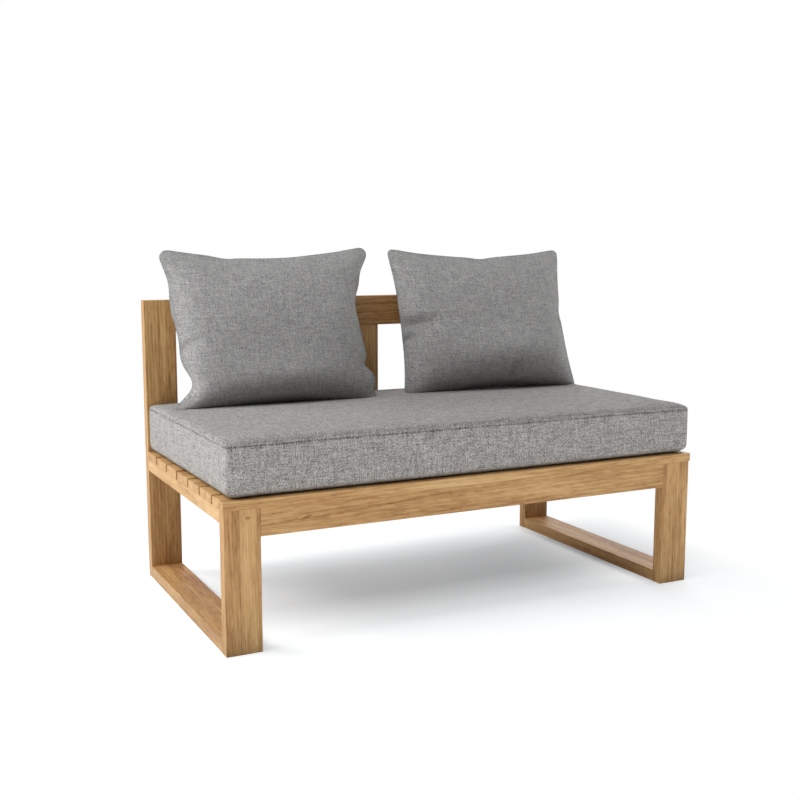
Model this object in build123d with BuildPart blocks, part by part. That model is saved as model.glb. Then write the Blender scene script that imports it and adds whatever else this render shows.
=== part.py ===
from build123d import *
import os
from math import cos, radians, sin, sqrt

# Two-seat modular bench: two closed end frames of flat teak boards, joined by aprons, a slatted
# deck and a back rail, with a boxed seat cushion and two loose back pillows.
# Millimetres. X runs to the right as seen from the front, Y to the back and Z up.
# The origin is on the floor, in the middle of the footprint.

# Frame
bench_width = 1400.0  # over the two end frames
bench_depth = 755.0  # front of the front posts to the back of the rear posts
deck_height = 380.0  # floor to the top of the slats
back_height = 820.0  # floor to the top of the back
board_width = 92.0  # wide face of posts, rails and bearer
board_thickness = 34.0
apron_height = 70.0
back_post_thickness = 23.0
edge_ease = 1.5  # rounding of the boards' long edges

# Deck
slat_count = 7
slat_thickness = 23.0
slat_gap = 11.3
slat_front_overhang = 3.0
slat_end_overhang = 2.0
slat_rear_gap = 2.0  # to the rear posts
front_slat_trim = 11.0  # the front slat is this much narrower

# Dowels, two at each butt joint
dowel_radius = 5.0
dowel_in_post = 22.0
dowel_in_rail = 38.0
dowel_spread = 30.0
back_post_dowel_spread = 60.0  # clear of the bearer's dowels in the rear apron
dowel_chamfer = 1.0
dowel_glue_gap = 0.05
dowel_end_gap = 1.0

# Slat screws, driven from below
screw_shank_radius = 2.1
screw_head_radius = 4.2
screw_bite = 15.0  # into the slat
screw_recess = 4.0  # head below the rail's underside
screw_edge = 14.0  # to the slat's edge
screw_tip = 5.0
screw_drive = 2.4  # square socket in the head
screw_drive_depth = 2.0
screw_hole_gap = 0.3
screw_pilot_gap = 0.05
countersink_angle = 90.0

# Seat cushion
soft_gap = 0.3  # between a soft piece and what it rests on
fabric_thickness = 1.5
filling_gap = 0.5  # between a cover and its filling
cushion_thickness = 138.0
cushion_end_inset = 3.0  # from the end frames' outer faces
cushion_front_inset = 15.0  # from the front posts' front face
cushion_corner = 24.0
cushion_draw = 2.5  # front and ends pull in between the corners
base_roll = 12.0
top_roll_in = 18.0
top_roll_rise = 8.0
cushion_crown = 4.0
crown_reach = 130.0  # from the rolled edge to the flat of the crown
roll_steps = 3

# Zip in the rear boxing
zip_end_inset = 197.0  # from the cushion's ends to the slot
zip_slot = 9.0
zip_tape_height = 26.0
zip_tape_thickness = 0.8
zip_tape_lap = 12.0  # tape past each end of the slot
zip_coil_height = 5.0
zip_coil_proud = 0.6
slider_length = 13.0
slider_height = 8.2
slider_top = 1.6
slider_gap = 0.3
slider_depth = 1.0  # into the slot
slider_end_gap = 2.0

# Back pillows
pillow_width = 610.0
pillow_height = 457.0
pillow_thickness = 120.0
pillow_lean = 15.6
pillow_sink = 10.0  # bottom edge flattened by the pillow's weight
pillow_roll = 200.0  # from the edge seam to the crown
pillow_roll_power = 4.0
pillow_ear = 20.0  # corner rounding at the seam
pillow_crown_corner = 0.8  # corner rounding at the crown, as a share of its half height
pillow_crown_draw = 0.1  # what is left of the draw at the crown
pillow_base_draw = 3.0
pillow_steps = 5
left_pillow_x = -336.0
left_pillow_turn = -0.5
left_pillow_draw = 28.0
right_pillow_x = 372.0
right_pillow_turn = -3.9
right_pillow_draw = 18.0
settle_start = 40.0
settle_steps = 5

# Places that follow from the sizes above
front_face = (slat_front_overhang - bench_depth) / 2
front_inner = front_face + board_thickness
rear_back = front_face + bench_depth
rear_face = rear_back - board_thickness
rail_length = rear_face - front_inner
frame_x = (bench_width - board_width) / 2
post_inner_x = bench_width / 2 - board_width
deck_underside = deck_height - slat_thickness
top_rail_low = deck_underside - board_thickness
apron_low = deck_underside - apron_height
back_rail_low = back_height - board_width
rear_mid = rear_face + board_thickness / 2
front_mid = front_face + board_thickness / 2

CENTRE_LOW = (Align.CENTER, Align.CENTER, Align.MIN)
FRONT_LOW = (Align.CENTER, Align.MIN, Align.MIN)

os.makedirs("parts", exist_ok=True)


def save(piece, label):
    """Name a finished piece and write it."""
    piece.part.label = label
    export_step(piece.part, f"parts/{label}.step")


def dowel_pair(point, into_rail, across, spread=dowel_spread):
    """Planes of a joint's two dowels: origin on the joint face, normal into the rail."""
    offsets = [Vector(*across) * (spread / 2 * sign) for sign in (-1, 1)]
    return [Plane(origin=Vector(*point) + offset, z_dir=into_rail) for offset in offsets]


def bore(planes):
    """Bore a joint's dowel holes in the board being made."""
    with Locations([plane.offset(-dowel_in_post - dowel_end_gap) for plane in planes]):
        Cylinder(
            dowel_radius + dowel_glue_gap,
            dowel_in_post + dowel_in_rail + 2 * dowel_end_gap,
            align=CENTRE_LOW,
            mode=Mode.SUBTRACT,
        )


def dowels(planes):
    """The dowels of one or more joints."""
    with BuildPart() as pins:
        with Locations([plane.offset(-dowel_in_post) for plane in planes]):
            Cylinder(dowel_radius, dowel_in_post + dowel_in_rail, align=CENTRE_LOW)
        chamfer(pins.edges().filter_by(GeomType.CIRCLE), dowel_chamfer)
    return pins


def rail_joints(x, z):
    """Dowels at the front and rear end of a rail that runs between two posts or aprons."""
    front = dowel_pair((x, front_inner, z), (0, 1, 0), (1, 0, 0))
    rear = dowel_pair((x, rear_face, z), (0, -1, 0), (1, 0, 0))
    return front, rear


def cross_joints(y, z):
    """Dowels at the left and right end of a board that runs between the end frames' posts."""
    left = dowel_pair((-post_inner_x, y, z), (1, 0, 0), (0, 0, 1))
    right = dowel_pair((post_inner_x, y, z), (-1, 0, 0), (0, 0, 1))
    return left, right


# Slats share the deck's depth; the front one is trimmed
deck_front = front_face - slat_front_overhang
deck_rear = rear_face - slat_rear_gap
slat_width = (deck_rear - deck_front - (slat_count - 1) * slat_gap + front_slat_trim) / slat_count


def slat_span(number):
    """Front and rear edge of a slat, counted from the front."""
    rear = deck_rear - (slat_count - number) * (slat_width + slat_gap)
    trim = front_slat_trim if number == 1 else 0
    return rear - slat_width + trim, rear


def screw_rows(number):
    """The two places along Y where a slat is screwed to a rail or bearer."""
    front, rear = slat_span(number)
    return max(front, front_inner) + screw_edge, rear - screw_edge


slat_numbers = range(1, slat_count + 1)
screw_places = [y for number in slat_numbers for y in screw_rows(number)]
screw_seat = top_rail_low + screw_recess


def sink_screws(x):
    """Countersunk holes for a row of slat screws in the rail being made."""
    seats = [Plane(origin=(x, y, screw_seat), z_dir=(0, 0, -1)) for y in screw_places]
    with Locations(seats):
        CounterSinkHole(
            screw_shank_radius + screw_hole_gap,
            screw_head_radius + screw_hole_gap,
            depth=board_thickness,
            counter_sink_angle=countersink_angle,
        )


# Joints between the boards
apron_mid = apron_low + apron_height / 2
rail_mid = top_rail_low + board_thickness / 2
front_apron_left, front_apron_right = cross_joints(front_mid, apron_mid)
rear_apron_left, rear_apron_right = cross_joints(rear_mid, apron_mid)
back_rail_left, back_rail_right = cross_joints(rear_mid, back_rail_low + board_width / 2)
bearer_front, bearer_rear = rail_joints(0, rail_mid)
back_post_foot, back_post_head = [
    dowel_pair((0, rear_mid, z), into_post, (1, 0, 0), back_post_dowel_spread)
    for z, into_post in ((deck_underside, (0, 0, 1)), (back_rail_low, (0, 0, -1)))
]

# End frames: posts, rails and the dowels in their corners
sides = (
    ("left", -frame_x, front_apron_left, rear_apron_left + back_rail_left),
    ("right", frame_x, front_apron_right, rear_apron_right + back_rail_right),
)
for side, x, front_crossing, rear_crossing in sides:
    low_front, low_rear = rail_joints(x, board_thickness / 2)
    top_front, top_rear = rail_joints(x, rail_mid)

    with BuildPart() as front_post:
        with Locations((x, front_face, 0)):
            Box(board_width, board_thickness, deck_underside, align=FRONT_LOW)
        fillet(front_post.edges().filter_by(Axis.Z), edge_ease)
        bore(low_front + top_front + front_crossing)
    save(front_post, f"{side}_front_post")

    with BuildPart() as rear_post:
        with Locations((x, rear_face, 0)):
            Box(board_width, board_thickness, back_height, align=FRONT_LOW)
        fillet(rear_post.edges().filter_by(Axis.Z), edge_ease)
        fillet(rear_post.faces().sort_by(Axis.Z)[-1].edges(), edge_ease / 2)
        bore(low_rear + top_rear + rear_crossing)
    save(rear_post, f"{side}_rear_post")

    with BuildPart() as bottom_rail:
        with Locations((x, front_inner, 0)):
            Box(board_width, rail_length, board_thickness, align=FRONT_LOW)
        fillet(bottom_rail.edges().filter_by(Axis.Y), edge_ease)
        bore(low_front + low_rear)
    save(bottom_rail, f"{side}_bottom_rail")

    with BuildPart() as top_rail:
        with Locations((x, front_inner, top_rail_low)):
            Box(board_width, rail_length, board_thickness, align=FRONT_LOW)
        fillet(top_rail.edges().filter_by(Axis.Y), edge_ease)
        bore(top_front + top_rear)
        sink_screws(x)
    save(top_rail, f"{side}_top_rail")

    save(dowels(low_front + low_rear + top_front + top_rear), f"{side}_frame_dowels")

# Aprons between the end frames, under the deck
span = 2 * post_inner_x
with BuildPart() as front_apron:
    with Locations((0, front_face, apron_low)):
        Box(span, board_thickness, apron_height, align=FRONT_LOW)
    fillet(front_apron.edges().filter_by(Axis.X), edge_ease)
    bore(front_apron_left + front_apron_right + bearer_front)
save(front_apron, "front_apron")
save(dowels(front_apron_left + front_apron_right), "front_apron_dowels")

with BuildPart() as rear_apron:
    with Locations((0, rear_face, apron_low)):
        Box(span, board_thickness, apron_height, align=FRONT_LOW)
    fillet(rear_apron.edges().filter_by(Axis.X), edge_ease)
    bore(rear_apron_left + rear_apron_right + bearer_rear + back_post_foot)
save(rear_apron, "rear_apron")
save(dowels(rear_apron_left + rear_apron_right), "rear_apron_dowels")

# Bearer under the middle of the slats, from apron to apron
with BuildPart() as centre_bearer:
    with Locations((0, front_inner, top_rail_low)):
        Box(board_width, rail_length, board_thickness, align=FRONT_LOW)
    fillet(centre_bearer.edges().filter_by(Axis.Y), edge_ease)
    bore(bearer_front + bearer_rear)
    sink_screws(0)
save(centre_bearer, "centre_bearer")
save(dowels(bearer_front + bearer_rear), "bearer_dowels")

# Back: rail between the rear posts, and a post behind the middle of the seat
with BuildPart() as back_rail:
    with Locations((0, rear_face, back_rail_low)):
        Box(span, board_thickness, board_width, align=FRONT_LOW)
    fillet(back_rail.edges().filter_by(Axis.X), edge_ease)
    bore(back_rail_left + back_rail_right + back_post_head)
save(back_rail, "back_rail")
save(dowels(back_rail_left + back_rail_right), "back_rail_dowels")

with BuildPart() as centre_back_post:
    with Locations((0, rear_mid, deck_underside)):
        Box(board_width, back_post_thickness, back_rail_low - deck_underside, align=CENTRE_LOW)
    fillet(centre_back_post.edges().filter_by(Axis.Z), edge_ease)
    bore(back_post_foot + back_post_head)
save(centre_back_post, "centre_back_post")
save(dowels(back_post_foot + back_post_head), "back_post_dowels")

# Deck slats, each with pilot holes over the two top rails and the bearer
supports = (("left", -frame_x), ("centre", 0), ("right", frame_x))
for number in slat_numbers:
    slat_front, slat_rear = slat_span(number)
    pilots = [
        Plane(origin=(x, y, deck_underside), z_dir=(0, 0, -1))
        for _, x in supports
        for y in screw_rows(number)
    ]
    with BuildPart() as slat:
        with Locations((0, slat_front, deck_underside)):
            Box(
                bench_width + 2 * slat_end_overhang,
                slat_rear - slat_front,
                slat_thickness,
                align=FRONT_LOW,
            )
        fillet(slat.edges(), edge_ease)
        with Locations(pilots):
            Hole(screw_shank_radius + screw_pilot_gap, depth=screw_bite + dowel_end_gap)
    save(slat, f"slat_{number}")

# Slat screws: one screw on its own axis, then a row for each rail and the bearer
screw_length = board_thickness - screw_recess + screw_bite
with BuildPart() as screw:
    with BuildSketch(Plane.XZ):
        with BuildLine():
            Polyline(
                (0, 0),
                (screw_head_radius, 0),
                (screw_shank_radius, screw_head_radius - screw_shank_radius),
                (screw_shank_radius, screw_length - screw_tip),
                (0, screw_length),
                close=True,
            )
        make_face()
    revolve(axis=Axis.Z)
    Box(screw_drive, screw_drive, 2 * screw_drive_depth, mode=Mode.SUBTRACT)

for place, x in supports:
    with BuildPart() as screws:
        with Locations([(x, y, screw_seat) for y in screw_places]):
            add(screw.part)
    save(screws, f"{place}_slat_screws")


def soft_section(plane, half_width, half_depth, corner, draws):
    """A face with four sides, each bowed in by its draw, joined by four corner arcs.

    The draws are those of the right, far, left and near side; a side with no draw is straight.
    """
    bend_cut = corner * (1 - sqrt(0.5))
    with BuildSketch(plane) as section:
        with BuildLine():
            for turn, draw in enumerate(draws):
                out, along = (half_width, half_depth) if turn % 2 == 0 else (half_depth, half_width)
                corners = (
                    (out, corner - along),
                    (out - draw, 0),
                    (out, along - corner),
                    (out - bend_cut, along - bend_cut),
                    (out - corner, along),
                )
                start, middle, end, bend, after = [
                    Vector(*point).rotate(Axis.Z, 90 * turn) for point in corners
                ]
                if draw:
                    ThreePointArc(start, middle, end)
                else:
                    Line(start, end)
                ThreePointArc(end, bend, after)
        make_face()
    return section.sketch


# Seat cushion: straight boxing, rolled edges and a low crown
cushion_base = deck_height + soft_gap
slider_proud = zip_coil_proud + slider_gap + slider_top
cushion_rear = rear_face - slider_proud - soft_gap  # lifts out past the back rail
cushion_front = front_face + cushion_front_inset
cushion_half_width = bench_width / 2 - cushion_end_inset
cushion_half_depth = (cushion_rear - cushion_front) / 2
cushion_mid = (cushion_rear + cushion_front) / 2
cushion_top = cushion_base + cushion_thickness
cushion_seam = cushion_thickness - cushion_crown - top_roll_rise
roll_angles = [radians(90 * step / roll_steps) for step in range(roll_steps + 1)]


def cushion_form(shrink):
    """The cushion's outer shape, or a like shape that lies inside it by shrink."""
    rolled = cushion_seam + top_roll_rise
    base = [(base_roll * (1 - cos(a)), base_roll * (1 - sin(a))) for a in roll_angles]
    edge = [(cushion_seam + top_roll_rise * sin(a), top_roll_in * (1 - cos(a))) for a in roll_angles]
    crown = [
        (rolled + cushion_crown * sin(a), top_roll_in + crown_reach * (1 - cos(a)))
        for a in roll_angles[1:]
    ]
    levels = [(height + shrink, inset) for height, inset in base]
    levels += [(height - shrink, inset) for height, inset in edge + crown]
    with BuildPart() as form:
        loft(
            [
                soft_section(
                    Plane((0, cushion_mid, cushion_base + height)),
                    cushion_half_width - inset - shrink,
                    cushion_half_depth - inset - shrink,
                    cushion_corner + inset,
                    (cushion_draw, 0, cushion_draw, cushion_draw),
                )
                for height, inset in levels
            ],
            ruled=True,
        )
    return form.part


zip_middle = cushion_base + (base_roll + cushion_seam) / 2
zip_length = 2 * (cushion_half_width - zip_end_inset)
tape_face = cushion_rear - fabric_thickness
with BuildPart() as seat_cover:
    add(cushion_form(0))
    add(cushion_form(fabric_thickness), mode=Mode.SUBTRACT)
    with Locations((0, cushion_rear, zip_middle)):
        Box(zip_length, 2 * fabric_thickness, zip_slot, mode=Mode.SUBTRACT)
save(seat_cover, "seat_cushion_cover")

with BuildPart() as seat_core:
    add(cushion_form(fabric_thickness + filling_gap))
    with Locations((0, tape_face, zip_middle)):
        Box(
            zip_length + 2 * (zip_tape_lap + soft_gap),
            2 * (zip_tape_thickness + soft_gap),
            zip_tape_height + 2 * soft_gap,
            mode=Mode.SUBTRACT,
        )
save(seat_core, "seat_cushion_core")

# Zip: tape behind the slot, coil showing in it, and the slider that runs along the coil
zip_reach = fabric_thickness + zip_coil_proud
with BuildPart() as seat_zip:
    with Locations((0, tape_face, zip_middle)):
        Box(
            zip_length + 2 * zip_tape_lap,
            zip_tape_thickness,
            zip_tape_height,
            align=(Align.CENTER, Align.MAX, Align.CENTER),
        )
        Box(
            zip_length,
            zip_reach,
            zip_coil_height,
            align=(Align.CENTER, Align.MIN, Align.CENTER),
        )
save(seat_zip, "seat_zip")

slider_x = zip_length / 2 - slider_end_gap - slider_length / 2
with BuildPart() as zip_slider:
    with Locations((slider_x, cushion_rear - slider_depth, zip_middle)):
        Box(
            slider_length,
            slider_depth + slider_proud,
            slider_height,
            align=(Align.CENTER, Align.MIN, Align.CENTER),
        )
        Box(
            slider_length,
            slider_depth + slider_proud - slider_top,
            zip_coil_height + 2 * slider_gap,
            align=(Align.CENTER, Align.MIN, Align.CENTER),
            mode=Mode.SUBTRACT,
        )
    fillet(zip_slider.faces().sort_by(Axis.Y)[-1].edges().filter_by(Axis.Z), slider_top / 2)
save(zip_slider, "zip_slider")

# Back pillows: two crowned halves that meet in a knife edge, flattened where they stand
pillow_rise = radians(pillow_lean)
pillow_floor = cushion_top + soft_gap
pillow_centre_z = pillow_floor - pillow_sink + pillow_height / 2 * cos(pillow_rise)
crown_shares = [sin(radians(90 * step / pillow_steps)) for step in range(pillow_steps + 1)]


def pillow_plane(x, y, turn):
    """The seam's plane, with its X axis along the pillow and its normal to the front."""
    facing = Vector(0, -cos(pillow_rise), sin(pillow_rise)).rotate(Axis.Z, turn)
    along = Vector(1, 0, 0).rotate(Axis.Z, turn)
    return Plane(origin=(x, y, pillow_centre_z), x_dir=along, z_dir=facing)


def pillow_form(plane, draw_in, shrink):
    """A pillow's outer shape, or a like shape that lies inside it by shrink."""
    sections = []
    for share in crown_shares:
        inset = pillow_roll * (1 - (1 - share) ** (1 / pillow_roll_power)) + shrink
        half_height = pillow_height / 2 - inset
        crown_corner = pillow_crown_corner * half_height
        draw_left = 1 - share * (1 - pillow_crown_draw)
        side_draw = draw_in * draw_left
        sections.append(
            soft_section(
                plane.offset(share * (pillow_thickness / 2 - shrink)),
                pillow_width / 2 - inset,
                half_height,
                pillow_ear + (crown_corner - pillow_ear) * share,
                (side_draw, side_draw, side_draw, pillow_base_draw * draw_left),
            )
        )
    with BuildPart() as form:
        loft(sections)
        mirror(about=plane)
        split(bisect_by=Plane.XY.offset(pillow_floor + shrink), keep=Keep.TOP)
    return form.part


pillows = (
    ("left", left_pillow_x, left_pillow_turn, left_pillow_draw),
    ("right", right_pillow_x, right_pillow_turn, right_pillow_draw),
)
for side, x, turn, draw_in in pillows:
    # Lean each pillow back until it is a soft gap from the back rail
    y = rear_face - pillow_thickness - settle_start
    standing = pillow_form(pillow_plane(x, y, turn), draw_in, 0)
    for _ in range(settle_steps):
        step = standing.distance_to(back_rail.part) - soft_gap
        standing = standing.moved(Location((0, step, 0)))
        y += step
    seam_plane = pillow_plane(x, y, turn)

    with BuildPart() as pillow_cover:
        add(standing)
        add(pillow_form(seam_plane, draw_in, fabric_thickness), mode=Mode.SUBTRACT)
    save(pillow_cover, f"{side}_pillow_cover")

    with BuildPart() as pillow_insert:
        add(pillow_form(seam_plane, draw_in, fabric_thickness + filling_gap))
    save(pillow_insert, f"{side}_pillow_insert")
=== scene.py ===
"""Looks of the modular bench: teak boards, a boxed seat cushion, loose pillows, a zip and a studio.

Metres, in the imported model's frame: X to the right as seen from the front, Y to the back and Z up.
"""

import logging
import math
from dataclasses import dataclass
from enum import Enum

import bpy
import numpy as np
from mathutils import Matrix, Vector


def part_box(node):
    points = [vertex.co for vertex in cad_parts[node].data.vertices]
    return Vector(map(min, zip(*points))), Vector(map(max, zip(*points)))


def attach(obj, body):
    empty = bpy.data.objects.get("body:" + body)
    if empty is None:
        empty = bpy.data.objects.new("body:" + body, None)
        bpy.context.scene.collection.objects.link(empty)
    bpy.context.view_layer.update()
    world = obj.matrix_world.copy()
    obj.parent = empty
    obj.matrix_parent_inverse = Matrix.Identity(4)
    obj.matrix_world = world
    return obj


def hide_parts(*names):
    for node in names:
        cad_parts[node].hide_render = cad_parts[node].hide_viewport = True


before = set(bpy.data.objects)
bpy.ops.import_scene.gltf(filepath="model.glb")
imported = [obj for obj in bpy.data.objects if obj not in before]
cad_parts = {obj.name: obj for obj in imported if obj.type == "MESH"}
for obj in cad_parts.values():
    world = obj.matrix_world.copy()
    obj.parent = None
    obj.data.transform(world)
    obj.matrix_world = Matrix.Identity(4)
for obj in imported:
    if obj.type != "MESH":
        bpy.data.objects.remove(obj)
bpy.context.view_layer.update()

log = logging.getLogger("bench")
Socket = bpy.types.NodeSocket
Value = float | tuple[float, ...] | Socket
Pair = tuple[float, float]
Point = tuple[float, float, float]
Array = np.ndarray


class SocketKind(Enum):
    """Kinds of named socket on a shader group."""

    NUMBER = "NodeSocketFloat"
    VECTOR = "NodeSocketVector"
    COLOUR = "NodeSocketColor"


NUMBER, VECTOR, COLOUR = SocketKind
Sockets = dict[str, SocketKind]
# Where most of a noise's values lie.
NOISE_SPAN = (0.3, 0.7)


class GrainWay(Enum):
    """The way a board's grain runs, with the turn that brings it onto the grain's own X."""

    ALONG_X = (0.0, 0.0, 0.0)
    ALONG_Y = (0.0, 0.0, -math.pi / 2)
    ALONG_Z = (0.0, math.pi / 2, 0.0)


class NodeSheet:
    """A shader node tree, with short calls that add a node and join it up."""

    def __init__(self, tree: bpy.types.NodeTree) -> None:
        """Work on the given tree."""
        self.tree = tree

    def put(self, target: Socket, value: Value) -> None:
        """Join a socket to another socket, or set it to a constant.

        Args:
            target: the socket to join or set.
            value: the other socket, or the constant.
        """
        if isinstance(value, Socket):
            self.tree.links.new(value, target)
        else:
            target.default_value = value

    def node(self, kind: str, inputs: dict[int | str, Value], **settings: object) -> bpy.types.Node:
        """Add a node.

        Args:
            kind: the node's type name.
            inputs: values or sockets for its inputs, by name or number.
            settings: the node's own options.

        Returns:
            The new node.
        """
        node = self.tree.nodes.new(kind)
        for name, setting in settings.items():
            setattr(node, name, setting)
        for key, value in inputs.items():
            self.put(node.inputs[key], value)
        return node

    def out(self, kind: str, inputs: dict[int | str, Value], **settings: object) -> Socket:
        """The first output of a new node."""
        return self.node(kind, inputs, **settings).outputs[0]

    def place(self) -> Socket:
        """Where a point of the piece lies, in the bench's frame."""
        return self.node("ShaderNodeTexCoord", {}).outputs["Object"]

    def maths(self, operation: str, *values: Value) -> Socket:
        """The result of a Math node."""
        return self.out("ShaderNodeMath", dict(enumerate(values)), operation=operation)

    def weighed(self, value: Value, weight: Value, base: Value) -> Socket:
        """A value that lies about 0.5, taken from its middle, weighed and added to a base."""
        return self.maths("MULTIPLY_ADD", self.maths("SUBTRACT", value, 0.5), weight, base)

    def vectors(self, operation: str, *values: Value) -> Socket:
        """The vector that a Vector Math node gives."""
        return self.out("ShaderNodeVectorMath", dict(enumerate(values)), operation=operation)

    def length(self, vector: Value) -> Socket:
        """The length of a vector."""
        return self.node("ShaderNodeVectorMath", {0: vector}, operation="LENGTH").outputs["Value"]

    def parts(self, vector: Value) -> tuple[Socket, Socket, Socket]:
        """The three parts of a vector."""
        return tuple(self.node("ShaderNodeSeparateXYZ", {0: vector}).outputs)

    def joined(self, x: Value, y: Value, z: Value) -> Socket:
        """A vector of three numbers."""
        return self.out("ShaderNodeCombineXYZ", {0: x, 1: y, 2: z})

    def noise(self, place: Value, stretch: Point, detail: float = 2.0) -> Socket:
        """Noise about 0.5, of so many octaves, with so many cells per metre along each axis."""
        scaled = {"Vector": self.vectors("MULTIPLY", place, stretch), "Scale": 1.0}
        return self.out("ShaderNodeTexNoise", scaled | {"Detail": detail})

    def spread(self, value: Value, low: float, high: float, start: float, end: float) -> Socket:
        """A number moved from one range to another, and kept in it."""
        settings = {"From Min": low, "From Max": high, "To Min": start, "To Max": end}
        return self.out("ShaderNodeMapRange", {"Value": value} | settings)

    def either(self, factor: Value, first: Value, second: Value) -> Socket:
        """One of two numbers, or a share of each."""
        return self.out("ShaderNodeMix", {0: factor, 2: first, 3: second})

    def mix(self, factor: Value, first: Value, second: Value) -> Socket:
        """Two colours mixed."""
        values = {0: factor, 6: first, 7: second}
        return self.node("ShaderNodeMix", values, data_type="RGBA").outputs[2]

    def ramp(self, value: Value, stops: tuple[tuple[float, Point], ...]) -> Socket:
        """A colour read from stops along 0 to 1.

        Args:
            value: where to read it.
            stops: places and colours, those of the two ends first.

        Returns:
            The colour.
        """
        node = self.node("ShaderNodeValToRGB", {0: value})
        marks = node.color_ramp.elements
        for number, (place, colour) in enumerate(stops):
            mark = marks[number] if number < 2 else marks.new(place)
            mark.position = place
            mark.color = (*colour, 1.0)
        return node.outputs[0]


class EffectGroup:
    """A shader node group with named sockets, built once and placed in materials that use it."""

    def __init__(self, name: str, inputs: Sockets, outputs: Sockets) -> None:
        """Make the group's sockets.

        Args:
            name: the group's name.
            inputs: socket names and kinds going in.
            outputs: socket names and kinds coming out.
        """
        self.tree = bpy.data.node_groups.new(name, "ShaderNodeTree")
        for way, sockets in (("INPUT", inputs), ("OUTPUT", outputs)):
            for label, kind in sockets.items():
                self.tree.interface.new_socket(name=label, in_out=way, socket_type=kind.value)
        self.sheet = NodeSheet(self.tree)
        self.given = self.tree.nodes.new("NodeGroupInput").outputs
        self.result = self.tree.nodes.new("NodeGroupOutput").inputs

    def give(self, values: dict[str, Value]) -> None:
        """Join sockets to the group's outputs, by name."""
        for label, value in values.items():
            self.sheet.put(self.result[label], value)

    def place(self, sheet: NodeSheet, values: dict[str, Value]) -> bpy.types.NodeOutputs:
        """Put the group in a material's tree, its inputs set by name, and give its outputs."""
        return sheet.node("ShaderNodeGroup", values, node_tree=self.tree).outputs


class TeakGrain(EffectGroup):
    """Oiled teak: growth rings about a leaning pith, patches, streaks, fibres and pores."""

    DRIFT_CELLS = (1.1, 6.0, 6.0)
    DRIFT = (0.0, 0.034, 0.034)
    LEAN = (0.016, -0.034)
    RING_SPACING = 0.0085
    RING_WEIGHT = 0.06
    PORE_WEIGHT = -0.28
    PORE_DEPTH = -0.8
    PORES = (34.0, 620.0, 620.0)
    PORE_EDGE = (0.62, 0.72)
    ROUGHNESS = (0.56, 0.4)
    # Patch, band, mottle, streak and fibre: cells along and across the grain, octaves, weight.
    LAYERS = (
        (4.0, 20.0, 1.0, 0.6),
        (2.4, 70.0, 2.0, 0.6),
        (26.0, 105.0, 1.0, 0.4),
        (8.0, 240.0, 2.0, 0.6),
        (22.0, 1000.0, 2.0, 0.4),
    )
    COLOURS = (
        (0.0, (0.20, 0.082, 0.024)),
        (1.0, (0.70, 0.475, 0.235)),
        (0.28, (0.37, 0.184, 0.062)),
        (0.5, (0.505, 0.286, 0.110)),
        (0.72, (0.605, 0.374, 0.158)),
    )

    def __init__(self) -> None:
        """Ring value = sin(2 pi r / spacing), with r the distance from a pith that leans."""
        super().__init__(
            "teak_grain",
            {"Place": VECTOR, "Tone": NUMBER, "Figure": NUMBER},
            {"Colour": COLOUR, "Roughness": NUMBER, "Height": NUMBER},
        )
        sheet = self.sheet
        place = self.given["Place"]
        drift = sheet.noise(place, self.DRIFT_CELLS).node.outputs["Color"]
        drift = sheet.vectors("SUBTRACT", drift, (0.5, 0.5, 0.5))
        swing = sheet.vectors("MULTIPLY", drift, self.DRIFT)
        along, *others = sheet.parts(sheet.vectors("ADD", place, swing))
        leaning = zip(self.LEAN, others)
        off = [sheet.maths("MULTIPLY_ADD", along, lean, part) for lean, part in leaning]
        radius = sheet.length(sheet.joined(0.0, *off))
        ring = sheet.maths("SINE", sheet.maths("MULTIPLY", radius, 2 * math.pi / self.RING_SPACING))
        shade = sheet.maths("MULTIPLY", ring, self.RING_WEIGHT)
        for cells_along, cells_across, octaves, weight in self.LAYERS:
            layer = sheet.noise(place, (cells_along, cells_across, cells_across), octaves)
            shade = sheet.weighed(layer, weight, shade)
        fibre = layer
        pore = sheet.spread(sheet.noise(place, self.PORES, 1.0), *self.PORE_EDGE, 0.0, 1.0)
        shade = sheet.maths("MULTIPLY_ADD", shade, self.given["Figure"], 0.5)
        shade = sheet.maths("ADD", shade, self.given["Tone"])
        shade = sheet.maths("MULTIPLY_ADD", pore, self.PORE_WEIGHT, shade)
        self.give({
            "Colour": sheet.ramp(shade, self.COLOURS),
            "Roughness": sheet.spread(fibre, *NOISE_SPAN, *self.ROUGHNESS),
            "Height": sheet.maths("MULTIPLY_ADD", pore, self.PORE_DEPTH, fibre),
        })


class StaveLines(EffectGroup):
    """Boards glued up from staves: which stave a place is in, and the dark line between, used for
    glue lines and for painted shade at joints.
    """

    LINE_FULL = 0.0003
    LINE_GONE = 0.0012
    NEXT_STAVE = (0.83, 0.047, 0.061)

    def __init__(self) -> None:
        """Stave = how many lines lie before a place; a line is dark within its half width."""
        super().__init__(
            "stave_lines",
            {"Across": NUMBER, "First": NUMBER, "Second": NUMBER},
            {"Past First": NUMBER, "Past Second": NUMBER, "Shift": VECTOR, "Line": NUMBER},
        )
        sheet = self.sheet
        steps = []
        lines = []
        for label in ("First", "Second"):
            offset = sheet.maths("SUBTRACT", self.given["Across"], self.given[label])
            steps.append(sheet.maths("GREATER_THAN", offset, 0.0))
            distance = sheet.maths("ABSOLUTE", offset)
            lines.append(sheet.spread(distance, self.LINE_FULL, self.LINE_GONE, 1.0, 0.0))
        count = sheet.maths("ADD", *steps)
        self.give({
            "Past First": steps[0],
            "Past Second": steps[1],
            "Shift": sheet.vectors("MULTIPLY", sheet.joined(count, count, count), self.NEXT_STAVE),
            "Line": sheet.maths("MAXIMUM", *lines),
        })


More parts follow.
